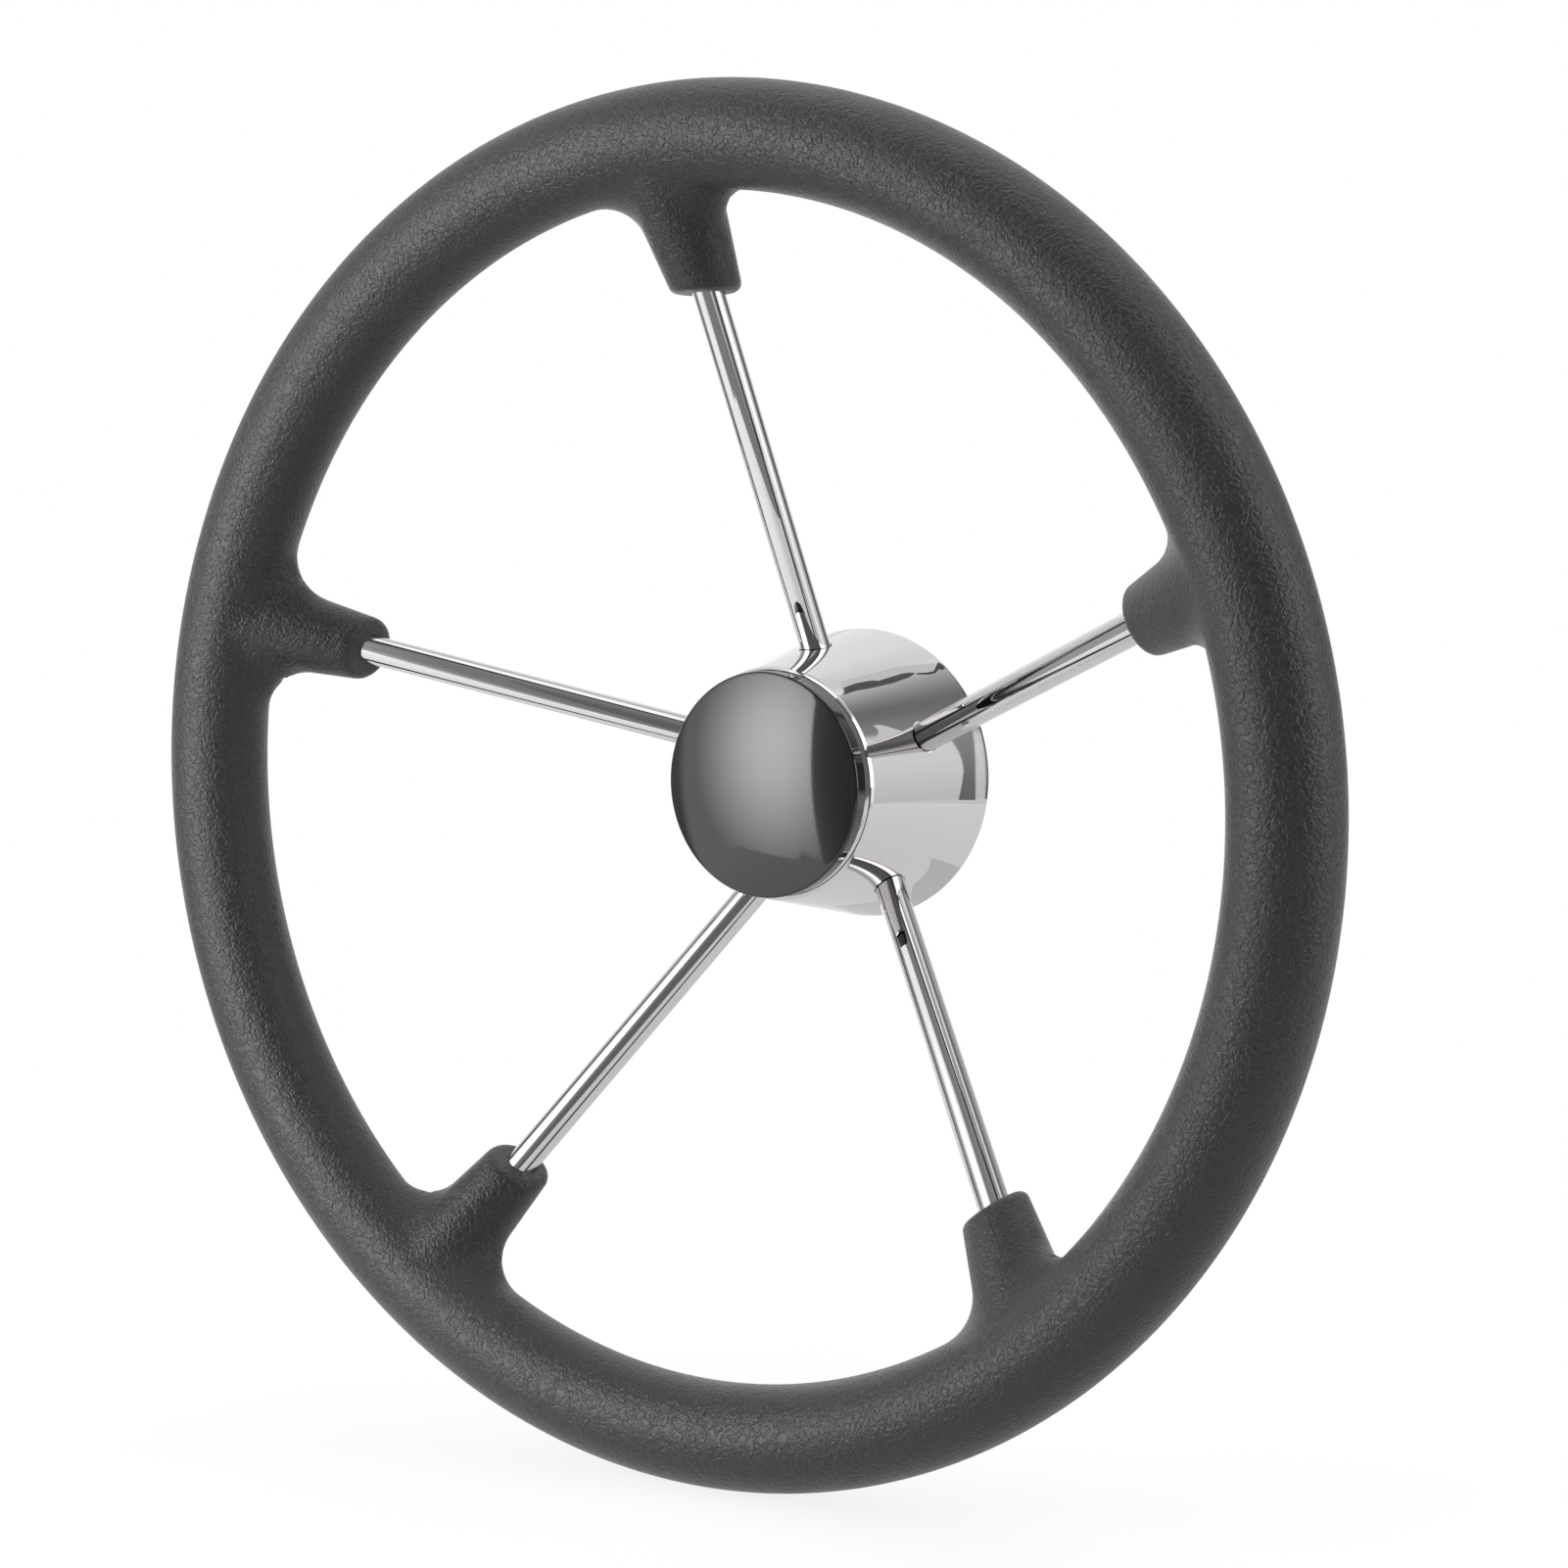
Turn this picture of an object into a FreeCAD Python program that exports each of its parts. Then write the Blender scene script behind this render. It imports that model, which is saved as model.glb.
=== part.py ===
import FreeCAD, Part
import Sketcher
import math
import os

# Five-spoke boat steering wheel, in millimetres.
# The origin is the centre of the hub boss's rear face, on the shaft's axis. +Z is up, the shaft leaves
# towards +Y and the helmsman's side is -Y. The wheel stands upright, with spoke_1 straight up.

# Driving dimensions: name, value, what it measures
SIZES = [
    ("rim_diameter", 343.0, "across the whole rim"),
    ("grip_diameter", 26.0, "the grip's round section"),
    ("ring_diameter", 12.0, "the steel ring's round section"),
    ("mould_clearance", 0.1, "between the grip and the steel inside it"),
    ("rim_setback", 83.3, "from the rim's middle plane to the boss's rear face"),
    ("spoke_count", 5, "spokes, evenly spaced"),
    ("spoke_diameter", 8.0, "bar of each spoke"),
    ("dish_angle", 25.0, "lean of the spokes from the rim's plane, degrees"),
    ("spoke_offset", 1.8, "how far behind the rim's middle plane a spoke's axis crosses the ring"),
    ("weld_gap", 0.05, "left between a spoke and what it is welded to"),
    ("lobe_length", 39.4, "from the ring to the end face of a lobe, along its spoke"),
    ("lobe_end_diameter", 17.0, "across the lobe at its end face, before rounding"),
    ("lobe_root_inset", 0.28, "where a lobe leaves the ring, its side inside the grip's side"),
    ("lobe_end_rounding", 2.2, "edge radius at the lobe's end"),
    ("lobe_root_fillet", 12.5, "flare between a lobe and the rim"),
    ("boss_diameter", 38.0, "outside of the turned boss"),
    ("boss_length", 35.0, "front face to rear face"),
    ("boss_chamfer", 1.0, "outer edges of the boss"),
    ("bore_chamfer", 0.5, "mouths of the tapered bore"),
    ("socket_depth", 4.0, "depth of a spoke's socket, along the spoke"),
    ("shaft_diameter", 19.05, "large end of the shaft's taper, at the rear face"),
    ("taper_ratio", 12.0, "length over which the bore's diameter grows by one"),
    ("keyway_width", 4.76, "across the keyway"),
    ("keyway_depth", 2.38, "from the bore's wall to the keyway's floor"),
    ("shell_inset", 2.0, "the shell's rear edge, in front of the boss's rear face"),
    ("shell_depth", 45.0, "the shell's rear edge to its front face"),
    ("shell_rear_diameter", 77.2, "outside at the rear edge"),
    ("shell_front_diameter", 59.1, "outside at the front face, before rounding"),
    ("shell_wall", 1.5, "sheet thickness"),
    ("shell_front_rounding", 3.0, "outer radius of the front corner"),
    ("shell_rear_rounding", 0.6, "edge radius at the open rear"),
    ("shell_flange_width", 5.05, "turned-in front, from its sharp corner to the opening that the cap plugs"),
    ("spoke_hole_clearance", 0.35, "between a spoke and its hole in the shell"),
    ("cap_inset", 0.7, "the head's side, inside the shell's sharp front corner"),
    ("cap_head_height", 3.7, "the head's side, from the shell's front face"),
    ("cap_dome_height", 4.0, "rise of the domed face at its middle"),
    ("cap_edge_rounding", 0.8, "edge radius around the domed face"),
    ("cap_wall", 2.0, "moulding thickness"),
    ("cap_fit_clearance", 0.1, "between the plug and the shell's opening"),
    ("plug_depth", 9.0, "how far the plug reaches behind the shell's front face"),
    ("claw_count", 6, "spring claws around the plug"),
    ("claw_slot_width", 2.5, "slot between two claws"),
]

document = FreeCAD.newDocument("boat_steering_wheel")
sheet = document.addObject("Spreadsheet::Sheet", "Sizes")
for row, (alias, value, meaning) in enumerate(SIZES, 1):
    sheet.set(f"A{row}", alias)
    sheet.set(f"B{row}", str(value))
    sheet.set(f"C{row}", meaning)
    sheet.setAlias(f"B{row}", alias)
document.recompute()

# Lengths that several sub-parts share
GRIP_RADIUS = "Sizes.grip_diameter / 2"
RING_RADIUS = "Sizes.ring_diameter / 2"
RIM_RADIUS = "(Sizes.rim_diameter - Sizes.grip_diameter) / 2"
SPOKE_RADIUS = "Sizes.spoke_diameter / 2"
BOSS_RADIUS = "Sizes.boss_diameter / 2"
BORE_REAR_RADIUS = "Sizes.shaft_diameter / 2"
BORE_FRONT_RADIUS = "(Sizes.shaft_diameter - Sizes.boss_length / Sizes.taper_ratio) / 2"
SHELL_REAR = "-Sizes.shell_inset"
SHELL_FRONT = "(-Sizes.shell_inset - Sizes.shell_depth)"
SHELL_REAR_RADIUS = "Sizes.shell_rear_diameter / 2"
SHELL_FRONT_RADIUS = "Sizes.shell_front_diameter / 2"
SHELL_OPENING_RADIUS = "(Sizes.shell_front_diameter / 2 - Sizes.shell_flange_width)"
PLUG_RADIUS = f"({SHELL_OPENING_RADIUS} - Sizes.cap_fit_clearance)"
CAP_RADIUS = f"({SHELL_FRONT_RADIUS} - Sizes.cap_inset)"
# from the ring, along a spoke's axis, to the boss's outside
SPOKE_REACH = f"({RIM_RADIUS} - {BOSS_RADIUS}) / cos(Sizes.dish_angle)"

# Room that a cutting shape runs past what it cuts
CUT_MARGIN = 2.0
UPRIGHT = FreeCAD.Vector(0, 0, 1)
SIDEWAYS = FreeCAD.Vector(1, 0, 0)
HELMSMAN_WARDS = FreeCAD.Vector(0, -1, 0)


# Building blocks

def new_body(label):
    body = document.addObject("PartDesign::Body", label)
    body.Label = label
    return body


def origin_of(body, role):
    return next(item for item in body.Origin.OriginFeatures if item.Role == role)


def bind(feature, sizes):
    for name, expression in sizes.items():
        feature.setExpression(name, expression)


def lean(feature, angle, along_y, along_z):
    """Stands a feature in the upright spoke's plane, its own Z axis leaning forward from the vertical."""
    feature.Placement = FreeCAD.Placement(FreeCAD.Vector(0, 0, 0), FreeCAD.Rotation(SIDEWAYS, 1))
    bind(feature, {
        "Placement.Rotation.Angle": angle,
        "Placement.Base.y": along_y,
        "Placement.Base.z": along_z,
    })


def lean_on_spoke(feature, distance, origin_y="0"):
    """Puts a feature on the upright spoke's axis, at a distance inwards from the ring."""
    lean(
        feature,
        "Sizes.dish_angle",
        f"{origin_y} + Sizes.spoke_offset + ({distance}) * sin(Sizes.dish_angle)",
        f"{RIM_RADIUS} - ({distance}) * cos(Sizes.dish_angle)",
    )


def rim_round(body, kind, label, radius):
    """A round section carried once around the rim's centre line, added or cut away."""
    sketch = body.newObject("Sketcher::SketchObject", f"{label}_section")
    sketch.AttachmentSupport = (origin_of(body, "XY_Plane"), [""])
    sketch.MapMode = "FlatFace"
    circle = sketch.addGeometry(Part.Circle(FreeCAD.Vector(1, 0, 0), UPRIGHT, 1), False)
    sketch.addConstraint(Sketcher.Constraint("PointOnObject", circle, 3, -1))
    for constraint, expression in (
        (Sketcher.Constraint("DistanceX", -1, 1, circle, 3, 1.0), RIM_RADIUS),
        (Sketcher.Constraint("Radius", circle, 1.0), radius),
    ):
        sketch.setExpression(f"Constraints[{sketch.addConstraint(constraint)}]", expression)
    return turned(body, sketch, label, kind)


def around_shaft(body, feature, count, label):
    """Repeats a feature evenly around the shaft's axis."""
    pattern = body.newObject("PartDesign::PolarPattern", label)
    pattern.Originals = [feature]
    pattern.Axis = (origin_of(body, "Y_Axis"), [""])
    pattern.Angle = 360
    pattern.setExpression("Occurrences", count)
    body.Tip = pattern
    return pattern


def profile(body, label, role, corners, domed=()):
    """Closed outline through corners given as expressions. A side that starts at a corner listed in domed is
    an arc with its centre on the shaft's axis; the others are straight."""
    sketch = body.newObject("Sketcher::SketchObject", label)
    sketch.AttachmentSupport = (origin_of(body, role), [""])
    sketch.MapMode = "FlatFace"
    for across, along in corners:
        point = sketch.addGeometry(Part.Point(FreeCAD.Vector(1, 1, 0)), True)
        for direction, expression in (("DistanceX", across), ("DistanceY", along)):
            number = sketch.addConstraint(Sketcher.Constraint(direction, -1, 1, point, 1, 1.0))
            sketch.setExpression(f"Constraints[{number}]", expression)
    document.recompute()
    drawn = [sketch.Geometry[point] for point in range(len(corners))]
    places = [FreeCAD.Vector(point.X, point.Y, 0) for point in drawn]
    for start, place in enumerate(places):
        end = (start + 1) % len(places)
        if start in domed:
            side, ends = axial_arc(sketch, place, places[end])
        else:
            side, ends = sketch.addGeometry(Part.LineSegment(place, places[end]), False), (1, 2)
        sketch.addConstraint(Sketcher.Constraint("Coincident", side, ends[0], start, 1))
        sketch.addConstraint(Sketcher.Constraint("Coincident", side, ends[1], end, 1))
    return sketch


def axial_arc(sketch, start, end):
    """An arc between two places, centred on the vertical axis. Gives its number and its ends in order."""
    run = end - start
    centre_y = (start.y + end.y + run.x * (start.x + end.x) / run.y) / 2
    centre = FreeCAD.Vector(0, centre_y, 0)
    bulge = (start + end) / 2 - centre
    middle = centre + bulge * ((start - centre).Length / bulge.Length)
    side = sketch.addGeometry(Part.Arc(start, middle, end), False)
    sketch.addConstraint(Sketcher.Constraint("PointOnObject", side, 3, -2))
    drawn = sketch.Geometry[side]
    forwards = drawn.StartPoint.distanceToPoint(start) < drawn.EndPoint.distanceToPoint(start)
    return side, (1, 2) if forwards else (2, 1)


def turned(body, sketch, label, kind="Revolution"):
    """Revolves an outline around the shaft's axis, as a Revolution or a Groove."""
    made = body.newObject(f"PartDesign::{kind}", label)
    made.Profile = sketch
    made.ReferenceAxis = (sketch, ["V_Axis"])
    made.Angle = 360
    document.recompute()
    return made


def edges_between(feature, first, second):
    """Names of the edges where a face of the first kind meets one of the second."""
    shape = feature.Shape
    return [
        f"Edge{number}"
        for number, edge in enumerate(shape.Edges, 1)
        if {type(face.Surface).__name__ for face in shape.ancestorsOfType(edge, Part.Face)} == {first, second}
    ]


def round_edges(feature, radius, along):
    """Names of the circular edges of one radius around the shaft's axis, at one place along it."""
    return [
        f"Edge{number}"
        for number, edge in enumerate(feature.Shape.Edges, 1)
        if isinstance(edge.Curve, Part.Circle)
        and math.isclose(edge.Curve.Radius, radius, abs_tol=1e-4)
        and math.isclose(edge.Curve.Center.y, along, abs_tol=1e-4)
    ]


def cone_ends(feature, along):
    """Names of the edges where a cone meets a flat face at one place along the shaft's axis."""
    return [
        name
        for name in edges_between(feature, "Plane", "Cone")
        if math.isclose(feature.Shape.getElement(name).Curve.Center.y, along, abs_tol=1e-4)
    ]


def blend(body, feature, edges, kind, label, size):
    """Fillet or chamfer of named edges."""
    made = body.newObject(f"PartDesign::{kind}", label)
    made.Base = (feature, edges)
    made.setExpression("Radius" if kind == "Fillet" else "Size", size)
    document.recompute()
    return made


# Steel ring that the spokes are welded to, inside the grip

rim_ring = new_body("rim_ring")
rim_round(rim_ring, "Revolution", "ring_bar", RING_RADIUS)
rim_ring.setExpression("Placement.Base.y", "-Sizes.rim_setback")

# Grip: one moulding around the ring, with a tapered lobe that swallows each spoke's end

grip = new_body("grip")
rim_round(grip, "Revolution", "grip_rim", GRIP_RADIUS)
lobe_across = "Sizes.lobe_length * cos(Sizes.dish_angle)"
lobe_along = "(Sizes.spoke_offset + Sizes.lobe_length * sin(Sizes.dish_angle))"
lobe_height = f"sqrt(({lobe_across}) ^ 2 + {lobe_along} ^ 2)"
lobe_end_radius = "Sizes.lobe_end_diameter / 2"
lobe_slope = f"(({GRIP_RADIUS} - Sizes.lobe_root_inset - {lobe_end_radius}) / {lobe_height})"
# how far the cone runs past its slanting end face
lobe_overrun = f"({lobe_end_radius} * {lobe_along} / ({lobe_across}) + {CUT_MARGIN})"
lobe_stretch = f"(1 + {lobe_overrun} / {lobe_height})"
lobe = grip.newObject("PartDesign::AdditiveCone", "lobe")
bind(lobe, {
    "Radius1": f"{lobe_end_radius} - {lobe_overrun} * {lobe_slope}",
    "Radius2": f"{GRIP_RADIUS} - Sizes.lobe_root_inset",
    "Height": f"{lobe_height} + {lobe_overrun}",
})
lean(lobe, f"atan2({lobe_along}; {lobe_across})", f"{lobe_along} * {lobe_stretch}",
     f"{RIM_RADIUS} - {lobe_across} * {lobe_stretch}")
around_shaft(grip, lobe, "Sizes.spoke_count", "tapered_lobes")
# the end faces lie parallel to the shaft, as the mould opens that way
lobe_trim = grip.newObject("PartDesign::SubtractiveBox", "lobe_trim")
bind(lobe_trim, {
    "Length": "2 * Sizes.lobe_end_diameter",
    "Width": "2 * Sizes.lobe_end_diameter",
    "Height": "2 * Sizes.lobe_end_diameter",
    "Placement.Base.x": "-Sizes.lobe_end_diameter",
    "Placement.Base.y": f"{lobe_along} - Sizes.lobe_end_diameter",
    "Placement.Base.z": f"{RIM_RADIUS} - {lobe_across} - 2 * Sizes.lobe_end_diameter",
})
lobes = around_shaft(grip, lobe_trim, "Sizes.spoke_count", "lobes")
document.recompute()
flares = blend(
    grip, lobes, edges_between(lobes, "Toroid", "Cone"), "Fillet", "lobe_flares", "Sizes.lobe_root_fillet")
blend(grip, flares, edges_between(flares, "Plane", "Cone"), "Fillet", "lobe_ends", "Sizes.lobe_end_rounding")
rim_round(grip, "Groove", "ring_cavity", f"{RING_RADIUS} + Sizes.mould_clearance")
hole_length = f"(Sizes.lobe_length + {SPOKE_RADIUS} * tan(Sizes.dish_angle) + {CUT_MARGIN})"
lobe_hole = grip.newObject("PartDesign::SubtractiveCylinder", "lobe_hole")
bind(lobe_hole, {
    "Radius": f"{SPOKE_RADIUS} + Sizes.mould_clearance",
    "Height": hole_length,
})
lean_on_spoke(lobe_hole, hole_length)
around_shaft(grip, lobe_hole, "Sizes.spoke_count", "lobe_holes")
grip.setExpression("Placement.Base.y", "-Sizes.rim_setback")

# Spokes: round bars, coped over the ring at one end and let into the boss at the other


def spoke(number):
    body = new_body(f"spoke_{number + 1}")
    length = f"({SPOKE_REACH} + Sizes.socket_depth - Sizes.weld_gap)"
    bar = body.newObject("PartDesign::AdditiveCylinder", f"spoke_bar_{number + 1}")
    bind(bar, {"Radius": SPOKE_RADIUS, "Height": length})
    lean_on_spoke(bar, length)
    rim_round(body, "Groove", f"spoke_cope_{number + 1}", f"{RING_RADIUS} + Sizes.weld_gap")
    body.Placement.Rotation = FreeCAD.Rotation(HELMSMAN_WARDS, 1)
    body.setExpression("Placement.Rotation.Angle", f"{number} * 360 / Sizes.spoke_count")
    body.setExpression("Placement.Base.y", "-Sizes.rim_setback")
    return body


spokes = [spoke(number) for number in range(int(sheet.spoke_count))]

# Hub boss: turned bar with a tapered and keyed shaft bore, and a socket for each spoke

hub_boss = new_body("hub_boss")
boss_outline = profile(hub_boss, "boss_outline", "XY_Plane", [
    (BORE_REAR_RADIUS, "0"),
    (BOSS_RADIUS, "0"),
    (BOSS_RADIUS, "-Sizes.boss_length"),
    (BORE_FRONT_RADIUS, "-Sizes.boss_length"),
])
boss_turning = turned(hub_boss, boss_outline, "boss_turning")
boss_edges = blend(
    hub_boss, boss_turning, edges_between(boss_turning, "Plane", "Cylinder"), "Chamfer", "boss_edges",
    "Sizes.boss_chamfer")
bore_radii = (sheet.shaft_diameter / 2, (sheet.shaft_diameter - sheet.boss_length / sheet.taper_ratio) / 2)
bore_mouths = [
    name
    for radius, along in zip(bore_radii, (0, -sheet.boss_length))
    for name in round_edges(boss_edges, radius, along)
]
blend(hub_boss, boss_edges, bore_mouths, "Chamfer", "bore_mouths", "Sizes.bore_chamfer")
keyway_outline = profile(hub_boss, "keyway_outline", "YZ_Plane", [
    ("0", "0"),
    ("0", f"{BORE_REAR_RADIUS} + Sizes.keyway_depth"),
    ("-Sizes.boss_length", f"{BORE_FRONT_RADIUS} + Sizes.keyway_depth"),
    ("-Sizes.boss_length", "0"),
])
keyway = hub_boss.newObject("PartDesign::Pocket", "keyway")
keyway.Profile = keyway_outline
keyway.Midplane = True
keyway.setExpression("Length", "Sizes.keyway_width")
spoke_socket = hub_boss.newObject("PartDesign::SubtractiveCylinder", "spoke_socket")
bind(spoke_socket, {
    "Radius": f"{SPOKE_RADIUS} + Sizes.weld_gap",
    "Height": f"{SPOKE_REACH} + Sizes.socket_depth",
})
lean_on_spoke(spoke_socket, f"{SPOKE_REACH} + Sizes.socket_depth", "-Sizes.rim_setback")
around_shaft(hub_boss, spoke_socket, "Sizes.spoke_count", "spoke_sockets")

# Hub shell: drawn cone around the boss, open behind, with a turned-in front and a hole for each spoke

hub_shell = new_body("hub_shell")
SHELL_SLOPE = f"(({SHELL_REAR_RADIUS} - {SHELL_FRONT_RADIUS}) / Sizes.shell_depth)"
SHEET_ACROSS = f"Sizes.shell_wall * sqrt(1 + {SHELL_SLOPE} ^ 2)"
SHELL_CORNER_INSIDE = f"{SHELL_FRONT_RADIUS} + Sizes.shell_wall * {SHELL_SLOPE} - {SHEET_ACROSS}"
shell_outline = profile(hub_shell, "shell_outline", "XY_Plane", [
    (SHELL_OPENING_RADIUS, SHELL_FRONT),
    (SHELL_FRONT_RADIUS, SHELL_FRONT),
    (SHELL_REAR_RADIUS, SHELL_REAR),
    (f"{SHELL_REAR_RADIUS} - {SHEET_ACROSS}", SHELL_REAR),
    (SHELL_CORNER_INSIDE, f"{SHELL_FRONT} + Sizes.shell_wall"),
    (SHELL_OPENING_RADIUS, f"{SHELL_FRONT} + Sizes.shell_wall"),
])
shell_drawing = turned(hub_shell, shell_outline, "shell_drawing")
shell_front = -sheet.shell_inset - sheet.shell_depth
front_corner = round_edges(shell_drawing, sheet.shell_front_diameter / 2, shell_front)
shell_corner = blend(
    hub_shell, shell_drawing, front_corner, "Fillet", "front_corner", "Sizes.shell_front_rounding")
inner_corner = cone_ends(shell_corner, shell_front + sheet.shell_wall)
shell_bend = blend(
    hub_shell, shell_corner, inner_corner, "Fillet", "inside_of_corner",
    "Sizes.shell_front_rounding - Sizes.shell_wall")
rear_edges = cone_ends(shell_bend, -sheet.shell_inset)
blend(hub_shell, shell_bend, rear_edges, "Fillet", "rear_edge", "Sizes.shell_rear_rounding")
spoke_hole = hub_shell.newObject("PartDesign::SubtractiveCylinder", "spoke_hole")
bind(spoke_hole, {
    "Radius": f"{SPOKE_RADIUS} + Sizes.spoke_hole_clearance",
    "Height": SPOKE_REACH,
})
lean_on_spoke(spoke_hole, SPOKE_REACH, "-Sizes.rim_setback")
around_shaft(hub_shell, spoke_hole, "Sizes.spoke_count", "spoke_holes")

# Centre cap: domed moulding that covers the shaft's nut, with a slotted plug in the shell's opening

centre_cap = new_body("centre_cap")
CAP_FACE = f"({SHELL_FRONT} - Sizes.cap_head_height)"
cap_outline = profile(centre_cap, "cap_outline", "XY_Plane", [
    ("0", f"{CAP_FACE} - Sizes.cap_dome_height"),
    (CAP_RADIUS, CAP_FACE),
    (CAP_RADIUS, SHELL_FRONT),
    (PLUG_RADIUS, SHELL_FRONT),
    (PLUG_RADIUS, f"{SHELL_FRONT} + Sizes.plug_depth"),
    (f"{PLUG_RADIUS} - Sizes.cap_wall", f"{SHELL_FRONT} + Sizes.plug_depth"),
    (f"{PLUG_RADIUS} - Sizes.cap_wall", f"{CAP_FACE} + Sizes.cap_wall"),
    ("0", f"{CAP_FACE} + Sizes.cap_wall"),
], domed=(0,))
cap_turning = turned(centre_cap, cap_outline, "cap_turning")
blend(
    centre_cap, cap_turning, edges_between(cap_turning, "Sphere", "Cylinder"), "Fillet", "cap_edge",
    "Sizes.cap_edge_rounding")
claw_slot = centre_cap.newObject("PartDesign::SubtractiveBox", "claw_slot")
bind(claw_slot, {
    "Length": "Sizes.claw_slot_width",
    "Width": "Sizes.plug_depth",
    "Height": f"Sizes.cap_wall + {CUT_MARGIN}",
    "Placement.Base.x": "-Sizes.claw_slot_width / 2",
    "Placement.Base.y": f"{SHELL_FRONT} + Sizes.cap_wall",
    "Placement.Base.z": f"{PLUG_RADIUS} - Sizes.cap_wall - {CUT_MARGIN / 2}",
})
around_shaft(centre_cap, claw_slot, "Sizes.claw_count", "claw_slots")

document.recompute()

# Nothing is written unless every feature was made and every sub-part is one sound solid
parts = [grip, rim_ring, *spokes, hub_boss, hub_shell, centre_cap]
for item in document.Objects:
    if "Invalid" in item.State or "Error" in item.State:
        raise RuntimeError(f"{item.Label} could not be made: {item.State}")
for part in parts:
    if part.Shape.isNull() or not part.Shape.isValid() or len(part.Shape.Solids) != 1:
        raise RuntimeError(f"{part.Label} is not one sound solid")

os.makedirs("parts", exist_ok=True)
for part in parts:
    part.Shape.exportStep(f"parts/{part.Label}.step")
    print(part.Label, round(part.Shape.Volume, 1), "cubic millimetres")
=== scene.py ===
import math

import bpy
import numpy as np
from mathutils import Matrix, Vector
from mathutils.kdtree import KDTree


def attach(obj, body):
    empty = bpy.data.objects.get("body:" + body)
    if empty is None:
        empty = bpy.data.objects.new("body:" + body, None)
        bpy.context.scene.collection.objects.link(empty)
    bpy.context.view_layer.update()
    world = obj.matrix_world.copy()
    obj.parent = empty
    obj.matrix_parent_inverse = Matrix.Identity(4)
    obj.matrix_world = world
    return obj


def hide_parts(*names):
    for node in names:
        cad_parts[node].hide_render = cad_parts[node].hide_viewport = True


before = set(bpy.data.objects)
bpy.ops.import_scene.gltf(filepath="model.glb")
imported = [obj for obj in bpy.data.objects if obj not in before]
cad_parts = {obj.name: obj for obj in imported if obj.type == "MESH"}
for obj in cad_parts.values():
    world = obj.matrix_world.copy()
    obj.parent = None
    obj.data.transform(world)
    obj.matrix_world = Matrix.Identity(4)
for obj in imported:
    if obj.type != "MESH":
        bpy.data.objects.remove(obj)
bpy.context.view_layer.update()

# Five-spoke boat steering wheel in a plain studio. Lengths are metres in the part's own frame: the origin is
# the centre of the boss's rear face, +Z is up and the helmsman's side is -Y.

mm = 0.001

# Sizes of the solids
WHEEL_RADIUS = 343 / 2 * mm
RIM_SETBACK = 83.3 * mm
GRIP_RADIUS = 13 * mm
RIM_RADIUS = WHEEL_RADIUS - GRIP_RADIUS
SPOKE_COUNT = 5
SPOKE_RADIUS = 4 * mm
SPOKE_OFFSET = 1.8 * mm
SPOKE_END_GAP = 0.5 * mm
DISH = math.radians(25)
LOBE_LENGTH = 39.4 * mm
LOBE_END_RADIUS = 8.5 * mm
LOBE_ROOT_RADIUS = 12.72 * mm
LOBE_END_ROUNDING = 2.2 * mm
LOBE_FLARE = 12.5 * mm
MOULD_CLEARANCE = 0.1 * mm
RING_RADIUS = 6 * mm
BOSS_RADIUS = 19 * mm
SOCKET_DEPTH = 4 * mm
SHELL_REAR = -2 * mm
SHELL_FRONT = -47 * mm
SHELL_REAR_RADIUS = 38.6 * mm
SHELL_FRONT_RADIUS = 29.55 * mm
SHELL_WALL = 1.5 * mm
SHELL_OPENING = 24.5 * mm
SHELL_BEND = 3 * mm
SHELL_REAR_ROUNDING = 0.6 * mm
SPOKE_HOLE_RADIUS = 4.35 * mm
SPOKE_HOLE_PLACE = 28 * mm
SPOKE_HOLE_LENGTH = 20 * mm
CAP_RADIUS = 28.85 * mm
CAP_HEAD = 3.7 * mm
CAP_DOME = 4 * mm
CAP_ROUNDING = 0.8 * mm
CAP_WALL = 2 * mm
PLUG_RADIUS = 24.4 * mm
PLUG_DEPTH = 9 * mm
CLAW_COUNT = 6
CLAW_SLOT = 2.5 * mm

# Fineness of the meshes
RING_STEPS = 512
GRIP_SIDES = 64
GRIP_VOXEL = 1.2 * mm
TURNED_STEPS = 256
HOLE_STEPS = 96
BEND_STEPS = 12
SIDE_FACE_LENGTH = 5 * mm

RIM_CENTRE = Vector((0, -RIM_SETBACK, 0))
SPOKE_TURN = 2 * math.pi / SPOKE_COUNT


# Meshes

def mesh_object(name, points, faces):
    mesh = bpy.data.meshes.new(name)
    mesh.from_pydata([tuple(point) for point in points], [], faces)
    mesh.update()
    made = bpy.data.objects.new(name, mesh)
    bpy.context.scene.collection.objects.link(made)
    return made


def lathe(name, outline, segments, closed=False):
    """Turns an outline of (radius, along Y) around the shaft's axis. A point at radius 0 becomes a pole."""
    points, rings = [], []
    for radius, along in outline:
        if radius == 0:
            rings.append([len(points)] * segments)
            points.append((0, along, 0))
            continue
        rings.append(range(len(points), len(points) + segments))
        for step in range(segments):
            turn = 2 * math.pi * step / segments
            points.append((radius * math.cos(turn), along, radius * math.sin(turn)))
    faces = []
    for first, second in zip(rings, rings[1:] + rings[:1] if closed else rings[1:]):
        for step in range(segments):
            after = (step + 1) % segments
            corners = [first[step], second[step], second[after], first[after]]
            faces.append(list(dict.fromkeys(corners)))
    return mesh_object(name, points, faces)


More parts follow.
